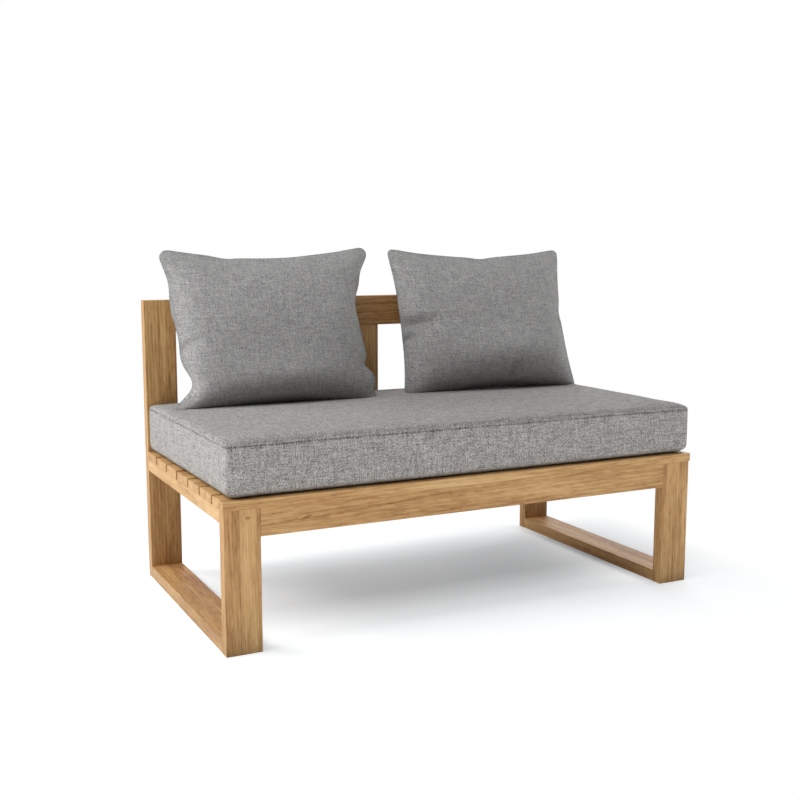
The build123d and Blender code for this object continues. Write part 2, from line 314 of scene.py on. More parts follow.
class KnotFlow(EffectGroup):
    """A knot: grain that parts round an eye, and the eye's dark heart."""

    DEEP_PUSH = 1.6
    RAGGED = (60.0, 260.0, 260.0)
    RAGGED_WEIGHT = 0.9
    HEART_EDGE = (0.3, 1.0)

    def __init__(self) -> None:
        """With d the distance over the knot's half sizes, the grain is pushed by exp(-d d / 2)."""
        super().__init__(
            "knot_flow",
            {"Place": VECTOR, "Centre": VECTOR, "Halves": VECTOR, "Slant": NUMBER, "Size": NUMBER},
            {"Push": VECTOR, "Heart": NUMBER},
        )
        sheet = self.sheet
        place = self.given["Place"]
        side, deep, rise = sheet.parts(sheet.vectors("SUBTRACT", place, self.given["Centre"]))
        level = sheet.maths("SUBTRACT", rise, sheet.maths("MULTIPLY", side, self.given["Slant"]))
        offset = sheet.joined(side, deep, level)
        share = sheet.length(sheet.vectors("DIVIDE", offset, self.given["Halves"]))
        squared = sheet.maths("MULTIPLY", share, share)
        swell = sheet.maths("EXPONENT", sheet.maths("MULTIPLY", squared, -0.5))
        reach = sheet.maths("MULTIPLY", swell, self.given["Size"])
        rough = sheet.weighed(sheet.noise(place, self.RAGGED), self.RAGGED_WEIGHT, share)
        self.give({
            "Push": sheet.joined(reach, sheet.maths("MULTIPLY", reach, self.DEEP_PUSH), reach),
            "Heart": sheet.spread(rough, *self.HEART_EDGE, 1.0, 0.0),
        })


class MelangeWeave(EffectGroup):
    """Plain weave of flecked yarns, with painted shade in the hollows between yarns."""

    # Short flecks and long ones: cells along a yarn, and where their noise starts.
    FLECKS = ((0.5, 0.0), (0.06, 40.0))
    WEFT_STEP = 5.37
    WARP_STEP = 4.91
    WARP_START = 9.0
    LONG_WEIGHT = 0.7
    SLUBS = (38.0, 38.0, 1.0)
    SLUB_WEIGHT = 0.14
    BOW = 0.4
    GAP_SHADE = (0.3, -0.2)

    def __init__(self) -> None:
        """Warp lies on top where the yarn numbers add up even, and each yarn has its own flecks."""
        super().__init__(
            "melange_weave",
            {"Place": VECTOR, "Pitch": NUMBER, "Fleck": NUMBER},
            {"Shade": NUMBER, "Height": NUMBER},
        )
        sheet = self.sheet
        place = self.given["Place"]
        u, v = (sheet.maths("DIVIDE", part, self.given["Pitch"]) for part in sheet.parts(place)[:2])
        column, row = (sheet.maths("FLOOR", part) for part in (u, v))
        weft_up = sheet.maths("FLOORED_MODULO", sheet.maths("ADD", column, row), 2.0)
        yarns = []
        for cells, start in self.FLECKS:
            weft = sheet.noise(sheet.joined(u, row, start), (cells, self.WEFT_STEP, 1.0), 1.0)
            warp_place = sheet.joined(column, v, start + self.WARP_START)
            warp = sheet.noise(warp_place, (self.WARP_STEP, cells, 1.0), 1.0)
            yarns.append(sheet.either(weft_up, warp, weft))
        yarn = sheet.weighed(yarns[1], self.LONG_WEIGHT, yarns[0])
        fleck = sheet.weighed(yarn, self.given["Fleck"], 0.5)
        fleck = sheet.weighed(sheet.noise(place, self.SLUBS), self.SLUB_WEIGHT, fleck)
        fractions = [sheet.maths("FRACT", part) for part in (u, v)]
        humps = [sheet.maths("SINE", sheet.maths("MULTIPLY", part, math.pi)) for part in fractions]
        bows = [sheet.maths("MULTIPLY_ADD", hump, self.BOW, 1 - self.BOW) for hump in humps]
        warp_height = sheet.maths("MULTIPLY", humps[0], bows[1])
        weft_height = sheet.maths("MULTIPLY", humps[1], bows[0])
        height = sheet.either(weft_up, warp_height, weft_height)
        # Painted shade: the weave is darker where the yarns dip, in the hollows between them.
        gap = sheet.maths("MULTIPLY_ADD", height, *self.GAP_SHADE)
        self.give({"Shade": sheet.maths("ADD", fleck, gap), "Height": height})


@dataclass
class Effects:
    """The shared shader groups."""

    grain: TeakGrain
    staves: StaveLines
    knot: KnotFlow
    weave: MelangeWeave


class PieceSheet(NodeSheet):
    """The node sheet of a piece's material, with its Principled shader."""

    def __init__(self, name: str) -> None:
        """Start a material.

        Args:
            name: the material's name.
        """
        self.material = bpy.data.materials.new(name)
        self.material.use_nodes = True
        super().__init__(self.material.node_tree)
        self.shader = self.tree.nodes["Principled BSDF"]

    def coat(
        self, colour: Value, roughness: Value, height: Value, bump: Pair, **constants: float
    ) -> bpy.types.Material:
        """Join up the shader.

        Args:
            colour: the base colour.
            roughness: the roughness.
            height: the height that the bump is made from.
            bump: the bump's strength and its distance.
            constants: other values, by the socket's name with low lines for spaces.

        Returns:
            The finished material.
        """
        inputs = {"Strength": bump[0], "Distance": bump[1], "Height": height}
        relief = self.out("ShaderNodeBump", inputs)
        sockets = {"Base Color": colour, "Roughness": roughness, "Normal": relief}
        sockets |= {label.replace("_", " "): value for label, value in constants.items()}
        for label, value in sockets.items():
            self.put(self.shader.inputs[label], value)
        return self.material


def added(name: str, data: bpy.types.ID) -> bpy.types.Object:
    """A new object with the given data, linked into the scene.

    Args:
        name: the object's name.
        data: its mesh, lamp or camera.

    Returns:
        The object.
    """
    thing = bpy.data.objects.new(name, data)
    bpy.context.scene.collection.objects.link(thing)
    return thing


def dress(piece: bpy.types.Object, material: bpy.types.Material) -> None:
    """Give a piece one material all over."""
    piece.data.materials.clear()
    piece.data.materials.append(material)


@dataclass(frozen=True)
class Knot:
    """One knot on a board: its middle, its half sizes, its slope and how dark its heart is."""

    middle: Point
    halves: Point
    slant: float = 0.0
    depth: float = 0.62


@dataclass(frozen=True)
class TeakFinish:
    """Oiled teak on one board: a tone for each stave, and along one axis its glue lines and lines of
    painted joint shade.
    """

    name: str
    way: GrainWay
    seed: Point
    tones: tuple[float, ...] = (0.0,)
    across: int = 0
    lines: tuple[float, ...] = ()
    knots: tuple[Knot, ...] = ()
    figure: float = 1.0
    NO_LINE = 9.0
    GLUE_AND_JOINT_SHADE = (0.2, 0.1, 0.04, 1.0)
    GLUE_AND_JOINT_SHADE_WEIGHT = 0.35
    HEART = (0.24, 0.10, 0.035, 1.0)
    BUMP = (0.3, 0.0005)

    def material(self, effects: Effects) -> bpy.types.Material:
        """The board's material, with its own stretch of grain, its staves and its knots.

        Args:
            effects: the shared shader groups.

        Returns:
            The material.
        """
        sheet = PieceSheet(f"teak_{self.name}")
        place = sheet.place()
        turn = {"Vector": place, "Rotation": self.way.value, "Location": self.seed}
        ground = sheet.out("ShaderNodeMapping", turn)
        first, second, *_ = (*self.lines, self.NO_LINE, self.NO_LINE)
        across = sheet.parts(place)[self.across]
        staves = effects.staves.place(sheet, {"Across": across, "First": first, "Second": second})
        ground = sheet.vectors("ADD", ground, staves["Shift"])
        hearts: list[Socket] = []
        for knot in self.knots:
            values = {"Place": place, "Centre": knot.middle, "Halves": knot.halves}
            values |= {"Slant": knot.slant, "Size": min(knot.halves)}
            flow = effects.knot.place(sheet, values)
            ground = sheet.vectors("ADD", ground, flow["Push"])
            hearts.append(sheet.maths("MULTIPLY", flow["Heart"], knot.depth))
        tones = (*self.tones, 0.0, 0.0)
        tone = sheet.maths("MULTIPLY_ADD", staves["Past First"], tones[1] - tones[0], tones[0])
        tone = sheet.maths("MULTIPLY_ADD", staves["Past Second"], tones[2] - tones[1], tone)
        grain = effects.grain.place(sheet, {"Place": ground, "Tone": tone, "Figure": self.figure})
        # Dark lines: glue between staves, and painted shade where a board meets another part.
        line = sheet.maths("MULTIPLY", staves["Line"], self.GLUE_AND_JOINT_SHADE_WEIGHT)
        colour = sheet.mix(line, grain["Colour"], self.GLUE_AND_JOINT_SHADE)
        for heart in hearts:
            colour = sheet.mix(heart, colour, self.HEART)
        rough, height = grain["Roughness"], grain["Height"]
        return sheet.coat(colour, rough, height, self.BUMP, Specular_IOR_Level=0.3)


@dataclass(frozen=True)
class MelangeFinish:
    """Woven outdoor fabric of flecked grey yarns."""

    name: str
    dark: Point
    light: Point
    pitch: float = 0.0024
    fleck: float = 1.65
    SEAM_SHADE_WEIGHT = -0.3
    ROUGHNESS = (0.98, 0.86)
    BUMP = (0.5, 0.0006)

    def material(self, effects: Effects) -> bpy.types.Material:
        """The fabric's material, laid along the piece's own UV map in metres.

        Args:
            effects: the shared shader groups.

        Returns:
            The material.
        """
        sheet = PieceSheet(self.name)
        place = sheet.out("ShaderNodeUVMap", {}, uv_map="cloth")
        values = {"Place": place, "Pitch": self.pitch, "Fleck": self.fleck}
        weave = effects.weave.place(sheet, values)
        # Painted shade along seams: the fabric is darkened where the seam shade attribute is set.
        seam_shade = sheet.node("ShaderNodeAttribute", {}, attribute_name="seam_shade").outputs["Fac"]
        sewn = sheet.maths("MULTIPLY_ADD", seam_shade, self.SEAM_SHADE_WEIGHT, weave["Shade"])
        return sheet.coat(
            sheet.ramp(sewn, ((0.0, self.dark), (1.0, self.light))),
            sheet.spread(weave["Height"], 0.0, 1.0, *self.ROUGHNESS),
            weave["Height"],
            self.BUMP,
            Specular_IOR_Level=0.25,
            Sheen_Weight=0.12,
            Sheen_Roughness=0.5,
        )


@dataclass(frozen=True)
class PlainFinish:
    """A small part's finish: one colour with a fine, uneven surface."""

    name: str
    colour: Point
    roughness: float
    metallic: float = 0.0
    CELLS = (300.0, 300.0, 300.0)
    UNEVEN = 0.06
    SHADES = (0.72, 1.2)
    BUMP = (0.2, 0.0002)

    def material(self) -> bpy.types.Material:
        """The material, its colour and roughness broken up by fine noise.

        Returns:
            The material.
        """
        sheet = PieceSheet(self.name)
        speck = sheet.noise(sheet.place(), self.CELLS)
        shades = [tuple(min(1.0, by * part) for part in self.colour) for by in self.SHADES]
        colour = sheet.ramp(speck, tuple(zip(NOISE_SPAN, shades)))
        limits = (self.roughness - self.UNEVEN, self.roughness + self.UNEVEN)
        rough = sheet.spread(speck, *NOISE_SPAN, *limits)
        return sheet.coat(colour, rough, speck, self.BUMP, Metallic=self.metallic)


@dataclass
class Surface:
    """A piece's surface: points, four-sided faces, their corners' places on the cloth and painted
    shade along seams.
    """

    points: Array
    quads: Array
    cloth: Array
    seam_shade: Array | None = None

    def piece(self, name: str) -> bpy.types.Object:
        """Put the surface into a new smooth-shaded object.

        Args:
            name: the object's name.

        Returns:
            The object, linked into the scene.
        """
        mesh = bpy.data.meshes.new(name)
        mesh.vertices.add(len(self.points))
        mesh.vertices.foreach_set("co", self.points.astype(np.float32).ravel())
        mesh.loops.add(self.quads.size)
        mesh.loops.foreach_set("vertex_index", self.quads.astype(np.int32).ravel())
        mesh.polygons.add(len(self.quads))
        mesh.polygons.foreach_set("loop_start", np.arange(0, self.quads.size, 4, dtype=np.int32))
        mesh.update(calc_edges=True)
        layer = mesh.uv_layers.new(name="cloth")
        layer.uv.foreach_set("vector", self.cloth.astype(np.float32).ravel())
        if self.seam_shade is not None:
            marks = mesh.attributes.new("seam_shade", "FLOAT", "POINT")
            marks.data.foreach_set("value", self.seam_shade.astype(np.float32))
        mesh.validate()
        mesh.shade_smooth()
        return added(name, mesh)


def block_quads(index: Array) -> Array:
    """Faces of a block of point numbers: each cell's four corners, turning left."""
    corners = (index[:-1, :-1], index[:-1, 1:], index[1:, 1:], index[1:, :-1])
    return np.stack(corners, axis=-1).reshape(-1, 4)


def rim(index: Array) -> Array:
    """The outer ring of a block of point numbers, turning left from its first corner."""
    return np.concatenate([index[0, :-1], index[:-1, -1], index[-1, :0:-1], index[:0:-1, 0]])


def square_grid(columns: int, rows: int) -> Array:
    """Places in rows and columns over the square from -1 to 1."""
    return np.stack(np.meshgrid(np.linspace(-1, 1, columns), np.linspace(-1, 1, rows)), axis=-1)


def points_of(mesh: bpy.types.Mesh) -> Array:
    """Read a mesh's points.

    Args:
        mesh: the mesh.

    Returns:
        The points as rows of three numbers.
    """
    values = np.empty(3 * len(mesh.vertices), np.float32)
    mesh.vertices.foreach_get("co", values)
    return values.reshape(-1, 3).astype(float)


@dataclass(frozen=True)
class Swelling:
    """How Blender's Cloth swells a closed cover on its filling."""

    pressure: float
    cap: float
    tension: float
    shear: float
    compression: float = 20.0
    bending: float = 0.5
    frames: int = 20
    quality: int = 6

    def swell(self, surface: Surface) -> Array:
        """Blow the surface up by cloth simulation, each point moving by no more than the cap.

        Args:
            surface: the closed surface before it is filled.

        Returns:
            The points after swelling.
        """
        dummy = surface.piece("swelling")
        cloth = dummy.modifiers.new("swelling", "CLOTH")
        settings = cloth.settings
        settings.quality = self.quality
        settings.use_pressure = True
        settings.uniform_pressure_force = self.pressure
        settings.tension_stiffness = self.tension
        settings.compression_stiffness = self.compression
        settings.shear_stiffness = self.shear
        settings.bending_stiffness = self.bending
        settings.effector_weights.gravity = 0.0
        cloth.point_cache.frame_end = self.frames
        scene = bpy.context.scene
        for step in range(1, self.frames + 1):
            scene.frame_set(step)
        swollen = points_of(dummy.evaluated_get(bpy.context.evaluated_depsgraph_get()).data)
        scene.frame_set(1)
        mesh = dummy.data
        bpy.data.objects.remove(dummy)
        bpy.data.meshes.remove(mesh)
        change = swollen - surface.points
        reach = np.linalg.norm(change, axis=1, keepdims=True)
        return surface.points + change * np.minimum(1.0, self.cap / np.maximum(reach, 1e-9))


def rounded(half: Array, corner: Array, across: Array) -> Array:
    """Places on a rectangle with round corners.

    A place is clamped to the rectangle less its corner, and what is left over, a square, is
    turned into a quarter disc by the ratio of its larger part to its length.

    Args:
        half: half sizes along the two axes.
        corner: the corner's radius.
        across: places on the square from -1 to 1.

    Returns:
        The places, in the same units as the half sizes.
    """
    place = across * half
    kept = np.clip(place, corner - half, half - corner)
    rest = place - kept
    longest = np.abs(rest).max(axis=-1, keepdims=True)
    return kept + rest * longest / np.maximum(np.linalg.norm(rest, axis=-1, keepdims=True), 1e-12)


def finer(grid: Array, axis: int) -> Array:
    """A grid with a new row between each two, on the cubic through its four neighbours.

    Args:
        grid: places in rows and columns.
        axis: 0 for new rows, 1 for new columns.

    Returns:
        The finer grid.
    """
    rows = np.moveaxis(grid, axis, 0)
    wide = np.concatenate([2 * rows[:1] - rows[1:2], rows, 2 * rows[-1:] - rows[-2:-1]])
    between = (9 * (wide[1:-2] + wide[2:-1]) - wide[:-3] - wide[3:]) / 16
    mixed = np.empty((2 * len(rows) - 1, *rows.shape[1:]))
    mixed[::2] = rows
    mixed[1::2] = between
    return np.moveaxis(mixed, 0, axis)


@dataclass
class SeatCushion:
    """The boxed seat cushion: two panels, a boxing strip between them and the sewn edge on top."""

    cell: float = 0.0138
    proud: Point = (0.002, 0.010, 0.004)
    lean: float = 0.007
    corner: float = 0.010
    base_roll_in: float = 0.026
    base_roll_rise: float = 0.022
    top_roll_in: float = 0.018
    top_roll_rise: float = 0.012
    crown: float = 0.003
    droop: float = 0.004
    dent: float = 0.005
    roll_rings: int = 5
    wall_rings: int = 10
    rear_push: float = 1.015
    seam_drop: float = 0.0135
    seam_depth: float = 0.0011
    seam_half: float = 0.0021
    seam_rings: tuple[float, ...] = (2.2, 1.1, 0.5, 0.0, -0.5, -1.1, -2.2)
    seam_clear: float = 2.6
    swelling: Swelling = Swelling(pressure=1.2, cap=0.003, tension=20.0, shear=10.0)

    def build(self) -> bpy.types.Object:
        """Make the cushion: a box with rolled edges, swollen by cloth simulation and sewn.

        Returns:
            The cushion's object.
        """
        low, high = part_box("seat_cushion_cover")
        self.low = np.array(low) - (self.proud[0], self.proud[1], 0)
        self.high = np.array(high) + (self.proud[0], 0, self.proud[2])
        top, ladder, under = self._box()
        start = self._sewn(top, ladder, np.zeros(len(ladder)), under)
        swollen = self._settled(self.swelling.swell(start))
        count = top.shape[0] * top.shape[1]
        top = swollen[:count].reshape(top.shape)
        under = swollen[-count:].reshape(under.shape)
        rings = swollen[count:-count].reshape(-1, *ladder.shape[1:])
        ladder = np.concatenate([rim(top)[None], rings, rim(under)[None]])
        self.rest = float(np.median(top[..., 2])) - self.dent
        surface = self._sewn(top, *self._seamed(ladder), under)
        piece = surface.piece("seat_cushion")
        rounding = piece.modifiers.new("rounding", "SUBSURF")
        rounding.levels = rounding.render_levels = 1
        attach(piece, "seat_cushion")
        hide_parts("seat_cushion_cover", "seat_cushion_core")
        log.info("%s: %d faces before rounding", piece.name, len(surface.quads))
        return piece

    def _box(self) -> tuple[Array, Array, Array]:
        """A box with rolled edges: a panel on top, rings down the boxing, and a panel below.

        A panel is the square from -1 to 1 laid on a rectangle with round corners, and a ring is
        its rim, set in by (1 - cos) and dropped by (1 - sin) of the roll's angle. With a and b from
        -1 to 1 and h the share of the height, corners droop by (a b)^14 h^8, the top is crowned by
        (1 - a^4)(1 - b^4), and dented at the rear by (4 b - 1) times 40 (0.985 - |a|), each kept
        from 0 to 1.

        Returns:
            The top panel's places, the rings from its rim to the lower one, and the lower panel's.
        """
        size = self.high - self.low
        middle = (self.low + self.high) / 2
        square = square_grid(*(round(length / self.cell) + 1 for length in size[:2]))
        angles = np.linspace(0, math.pi / 2, self.roll_rings)
        cosine, sine = np.cos(angles), np.sin(angles)
        shoulder = size[2] - self.top_roll_rise
        top = self.top_roll_in * (1 - sine), shoulder + self.top_roll_rise * cosine
        heights = np.linspace(shoulder, self.base_roll_rise, self.wall_rings)[1:-1]
        wall = np.zeros_like(heights), heights
        base = self.base_roll_in * (1 - cosine), self.base_roll_rise * (1 - sine)
        steps = np.concatenate([np.stack(part, -1) for part in (top, wall, base)])
        lower = (steps[:, 1] / size[2]) ** 8
        rises = -self.droop * lower[:, None, None] * np.prod(square**14, axis=-1)
        rises[0] += self.crown * np.prod(1 - square**4, axis=-1)
        rear = np.clip(4 * square[..., 1] - 1, 0, 1)
        rises[0] -= self.dent * rear * np.clip(40 * (0.985 - np.abs(square[..., 0])), 0, 1)
        corners = self.corner + np.where(steps[:, 1] >= shoulder, steps[:, 0], 0)
        sheets = []
        for (inset, height), corner, rise in zip(steps, corners, rises):
            flat = rounded(size[:2] / 2 - inset, corner, square)
            sheet = np.concatenate([flat, (height + rise)[..., None]], -1)
            sheet += (*middle[:2], self.low[2])
            sheet[..., 0] += self.lean * (self.high[1] - sheet[..., 1]) / size[1]
            sheets.append(sheet)
        return sheets[0], np.stack([rim(sheet) for sheet in sheets]), sheets[-1]

    def _sewn(self, top: Array, ladder: Array, seam_shade: Array, under: Array) -> Surface:
        """Join the panels and the rings between them into one closed surface.

        Args:
            top: the top panel's places.
            ladder: the rings, the first and last being the panels' rims.
            seam_shade: how far each ring lies in the seam, from 0 to 1, which sets its painted
                shade.
            under: the lower panel's places.

        Returns:
            The surface, with the cloth flat on the panels and rolled out along the boxing.
        """
        shape = top.shape[:2]
        count = shape[0] * shape[1]
        inner = ladder[1:-1]
        top_index = np.arange(count).reshape(shape)
        ring_index = count + np.arange(inner.shape[0] * inner.shape[1]).reshape(inner.shape[:2])
        under_index = count + ring_index.size + np.arange(count).reshape(shape)
        rungs = np.concatenate([rim(top_index)[None], ring_index, rim(under_index)[None]])
        looped = np.concatenate([rungs, rungs[:, :1]], axis=1)
        upper, lower = block_quads(top_index), block_quads(under_index)[:, ::-1]
        quads = np.concatenate([upper, block_quads(looped)[:, ::-1], lower])
        points = np.concatenate([part.reshape(-1, 3) for part in (top, inner, under)])
        widest = np.concatenate([ladder[len(ladder) // 2], ladder[len(ladder) // 2, :1]])
        girth = np.append(0, np.cumsum(np.linalg.norm(np.diff(widest, axis=0), axis=1)))
        drop = np.append(0, np.cumsum(np.linalg.norm(np.diff(ladder, axis=0), axis=2).mean(axis=1)))
        rolled = np.stack(np.meshgrid(girth, -drop), axis=-1).reshape(-1, 2)
        rolled_quads = block_quads(np.arange(len(rolled)).reshape(looped.shape))[:, ::-1]
        flat = points[:, :2]
        cloth = np.concatenate([flat[upper], rolled[rolled_quads], flat[lower]])
        plain = np.zeros(count)
        marks = np.concatenate([plain, np.repeat(seam_shade[1:-1], inner.shape[1]), plain])
        return Surface(points, quads, cloth, marks)

    def _settled(self, points: Array) -> Array:
        """Keep the swollen cushion on the deck, its rear flat and clear of the back.

        Args:
            points: the swollen points.

        Returns:
            The points, moved up to the deck and forward of the back.
        """
        settled = points.copy()
        push = np.where(points[:, 1] > 0, self.rear_push, 1.0)
        settled[:, 1] = np.minimum(points[:, 1] * push, self.high[1])
        settled[:, 2] = np.maximum(points[:, 2], self.low[2])
        log.info("seat swollen to %s", np.ptp(settled, axis=0).round(4))
        return settled

    def _seamed(self, ladder: Array) -> tuple[Array, Array]:
        """Add close rings about the top seam and draw them in by depth exp(-(d / half)^2).

        Args:
            ladder: the rings, from the top rim to the lower one.

        Returns:
            The rings with the seam's own among them, and how far each lies in the seam, which sets
            its painted shade.
        """
        heights = ladder[..., 2].mean(axis=1)
        seam = heights[0] - self.seam_drop
        extra = seam + self.seam_half * np.array(self.seam_rings)
        kept = heights[np.abs(heights - seam) > self.seam_clear * self.seam_half]
        wanted = np.sort(np.concatenate([kept, extra]))[::-1]
        place = np.interp(-wanted, -heights, np.arange(len(heights)))
        before = np.minimum(place.astype(int), len(heights) - 2)
        share = (place - before)[:, None, None]
        rings = (1 - share) * ladder[before] + share * ladder[before + 1]
        along = np.roll(rings, -1, axis=1) - np.roll(rings, 1, axis=1)
        outward = np.stack([along[..., 1], -along[..., 0], np.zeros(along.shape[:2])], -1)
        outward /= np.linalg.norm(outward, axis=-1, keepdims=True)
        draw = np.exp(-(((wanted - seam) / self.seam_half) ** 2))
        return rings - self.seam_depth * draw[:, None, None] * outward, draw


class Side(Enum):
    """A side of a pillow's seam: the axis it is drawn along, and the way that is inward."""

    LEFT = (0, 1.0)
    RIGHT = (0, -1.0)
    TOP = (1, -1.0)


@dataclass(frozen=True)
class Pucker:
    """A place where a side of the seam is drawn in, or let out if its depth is below nought.

    Place and width are along the side, which runs from -1 to 1, and reach is a share of the pillow.
    """

    side: Side
    place: float
    width: float
    depth: float
    reach: float


@dataclass(frozen=True)
class Crease:
    """A fold pressed into the front panel along a straight run, its ends from -1 to 1 on it."""

    start: Pair
    end: Pair
    depth: float
    width: float


@dataclass(frozen=True)
class Bulge:
    """Filling sunk to one place, where it pushes the front panel out.

    Across and up are places from -1 to 1 on the panel, and wide and tall are its spread.
    """

    across: float
    up: float
    wide: float
    tall: float
    depth: float

    def push(self, a: Array, b: Array) -> Array:
        """How far it pushes out: depth exp(-((a - across) / wide)^2 - ((b - up) / tall)^2)."""
        spread = ((a - self.across) / self.wide) ** 2 + ((b - self.up) / self.tall) ** 2
        return self.depth * np.exp(-spread)


@dataclass
class BackPillow:
    """A loose knife-edge pillow: two panels sewn round the edge, stood on the seat by the back."""

    side: str
    seat: float
    foot_left: Point
    foot_right: Point
    head_right: Point
    head_left: Point
    ear: float
    drop: float
    bulge: Bulge
    puckers: tuple[Pucker, ...]
    creases: tuple[Crease, ...]
    thickness: float = 0.124
    cut_width: float = 0.640
    cut_height: float = 0.480
    start_thickness: float = 0.09
    fill: float = 0.92
    sag: float = 0.18
    slump: float = 0.12
    give: float = 0.004
    columns: int = 65
    rows: int = 49
    clearance: float = 0.0005
    swelling: Swelling = Swelling(
        pressure=1.0, cap=0.12, tension=2.0, compression=0.3, shear=0.1, bending=10.0, frames=24,
    )

    def build(self) -> bpy.types.Object:
        """Make the pillow: two flat panels, swollen by cloth simulation and stood on the seat.

        The panels are the square from -1 to 1 laid on a rectangle with round corners, and start
        off the seam by half the start thickness times (1 - a^4)(1 - b^4).

        Returns:
            The pillow's object.
        """
        square = square_grid(self.columns, self.rows)
        flat = rounded(np.array([self.cut_width, self.cut_height]) / 2, self.ear, square)
        stand = self.start_thickness / 2 * np.prod(1 - square**4, axis=-1, keepdims=True)
        start = self._sewn(*(np.concatenate([flat, off], -1) for off in (stand, -stand)), flat)
        swollen = self.swelling.swell(start)
        front, back, _ = self._numbers(flat.shape[:2])
        panels = [finer(finer(swollen[index], 0), 1) for index in (front, back)]
        surface = self._sewn(*self._stood(panels), finer(finer(flat, 0), 1))
        piece = surface.piece(f"{self.side}_pillow")
        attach(piece, f"{self.side}_pillow")
        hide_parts(f"{self.side}_pillow_cover", f"{self.side}_pillow_insert")
        log.info("%s: %d faces", piece.name, len(surface.quads))
        return piece

    def _numbers(self, shape: tuple[int, int]) -> tuple[Array, Array, Array]:
        """Point numbers of the two panels, which share their edge.

        Args:
            shape: rows and columns of a panel.

        Returns:
            The front panel's numbers, the back panel's, and which places are inside the edge.
        """
        front = np.arange(shape[0] * shape[1]).reshape(shape)
        inner = np.zeros(shape, bool)
        inner[1:-1, 1:-1] = True
        back = front.copy()
        back[inner] = front.size + np.arange(inner.sum())
        return front, back, inner

    def _sewn(self, front: Array, back: Array, flat: Array) -> Surface:
        """Join two panels along their edge.

        Args:
            front: the front panel's places.
            back: the back panel's places.
            flat: places on the cut cloth, for the weave.

        Returns:
            The closed surface.
        """
        front_index, back_index, inner = self._numbers(front.shape[:2])
        points = np.concatenate([front.reshape(-1, 3), back[inner]])
        front_quads = block_quads(front_index)
        quads = np.concatenate([front_quads, block_quads(back_index)[:, ::-1]])
        places = flat.reshape(-1, 2)
        # The points on the seam take painted shade, the rest none.
        marks = np.concatenate([(~inner).ravel().astype(float), np.zeros(inner.sum())])
        cloth = np.concatenate([places[front_quads], places[front_quads[:, ::-1]]])
        return Surface(points, quads, cloth, marks)

    def _stood(self, panels: list[Array]) -> list[Array]:
        """Stand the swollen panels on the pillow's four corners.

        The places are scaled to -1 to 1 along and up the pillow, the seam is drawn in at the
        puckers, the filling sinks, and the seam's plane is laid bilinearly on the corners.

        Args:
            panels: the front and back panels, swollen about the seam's plane.

        Returns:
            The panels in the bench's frame.
        """
        corners = np.array([self.foot_left, self.foot_right, self.head_right, self.head_left])
        wide, tall = corners[1] - corners[0], corners[3] - corners[0]
        facing = np.cross(wide, tall)
        facing /= np.linalg.norm(facing)
        half = np.array([np.linalg.norm(wide), np.linalg.norm(tall)]) / 2
        limits = np.abs(np.concatenate([panel.reshape(-1, 3) for panel in panels])).max(axis=0)
        log.info("%s pillow swollen to half sizes %s", self.side, limits.round(3))
        stood = []
        for panel, front in zip(panels, (True, False)):
            scaled = panel / limits
            place = self._puckered(scaled[..., :2], half)
            a, b = place[..., 0], place[..., 1]
            out = np.sign(scaled[..., 2]) * np.abs(scaled[..., 2]) ** self.fill
            b = b - self.sag * np.abs(out) * (1 - b) / 2
            off = self.thickness / 2 * out * (1 - self.slump * b)
            if front:
                pressed = np.sqrt(np.abs(out)) * self._pressed(np.stack([a, b], -1) * half, half)
                off = off + out * self.bulge.push(a, b) - pressed
            shares = ((1 - a) * (1 - b), (1 + a) * (1 - b), (1 + a) * (1 + b), (1 - a) * (1 + b))
            seam = sum(share[..., None] / 4 * corner for share, corner in zip(shares, corners))
            stood.append(self._seated(seam + off[..., None] * facing, b))
        return stood

    def _puckered(self, place: Array, half: Array) -> Array:
        """Draw the seam by depth exp(-((s - place) / width)^2) exp(-2 t / reach), t from its side.

        Args:
            place: places on the panel, from -1 to 1.
            half: the pillow's half sizes in metres.

        Returns:
            The moved places.
        """
        rows, columns = place.shape[:2]
        grid = square_grid(columns, rows)
        moved = place.copy()
        for pucker in self.puckers:
            axis, inward = pucker.side.value
            along = np.exp(-(((grid[..., 1 - axis] - pucker.place) / pucker.width) ** 2))
            depth = np.exp(-(1 + inward * grid[..., axis]) / pucker.reach)
            moved[..., axis] += inward * pucker.depth / half[axis] * along * depth
        return moved

    def _pressed(self, place: Array, half: Array) -> Array:
        """How deep the creases press the panel: depth (0.2 + 0.8 sin(pi s)) exp(-(d / width)^2).

        The share s runs along the crease, and d is the distance from it.

        Args:
            place: places on the panel in metres.
            half: the pillow's half sizes in metres.

        Returns:
            The depth at each place.
        """
        pressed = np.zeros(place.shape[:2])
        for crease in self.creases:
            start = np.array(crease.start) * half
            run = np.array(crease.end) * half - start
            share = np.clip((place - start) @ run / (run @ run), 0, 1)
            gap = np.linalg.norm(place - start - share[..., None] * run, axis=-1)
            taper = 0.2 + 0.8 * np.sin(share * math.pi)
            pressed += crease.depth * taper * np.exp(-((gap / crease.width) ** 2))
        return pressed

    def _seated(self, stood: Array, up: Array) -> Array:
        """Let the lower part sink by its weight onto the seat, and keep the back off the back rail.

        With h the height over the seat less the drop, a place ends at (h + sqrt(h^2 + give^2)) / 2.

        Args:
            stood: places in the bench's frame.
            up: each place's height on the pillow, from -1 to 1.

        Returns:
            The moved places.
        """
        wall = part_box("back_rail")
        height = stood[..., 2] - self.seat - self.drop * ((1 - up) / 2) ** 2
        seated = stood.copy()
        seated[..., 2] = self.seat + (height + np.sqrt(height**2 + self.give**2)) / 2
        kept = np.minimum(seated[..., 1], wall[0].y - self.clearance)
        seated[..., 1] = np.where(seated[..., 2] < wall[1].z, kept, seated[..., 1])
        return seated


